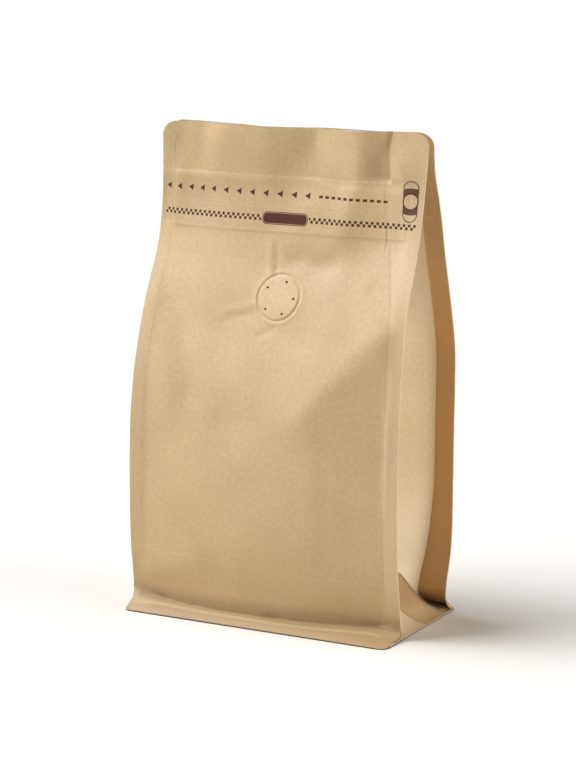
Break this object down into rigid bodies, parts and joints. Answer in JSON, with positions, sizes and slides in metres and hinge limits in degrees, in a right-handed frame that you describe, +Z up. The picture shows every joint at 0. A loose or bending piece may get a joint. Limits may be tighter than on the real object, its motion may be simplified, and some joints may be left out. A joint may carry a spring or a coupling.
{
  "type": "flat-bottom coffee bag",
  "caption": "Filled kraft-paper coffee bag that stands on a flat sealed foot, with folded side gussets, a flat header over a zip band, and an embossed degassing valve.",
  "frame": {"origin": "middle of the foot's outline, on the surface the bag stands on", "axes": "+X to the right across the front panel, the front panel faces -Y, +Z up the height of the bag"},
  "size_m": [0.13, 0.0734, 0.215],
  "materials": {
    "kraft_paper": "uncoated brown kraft paper over a barrier film, matte with a faint sheen, dark brown print"
  },
  "bodies": {
    "root": {"bag": "kraft_paper"}
  },
  "joints": []
}
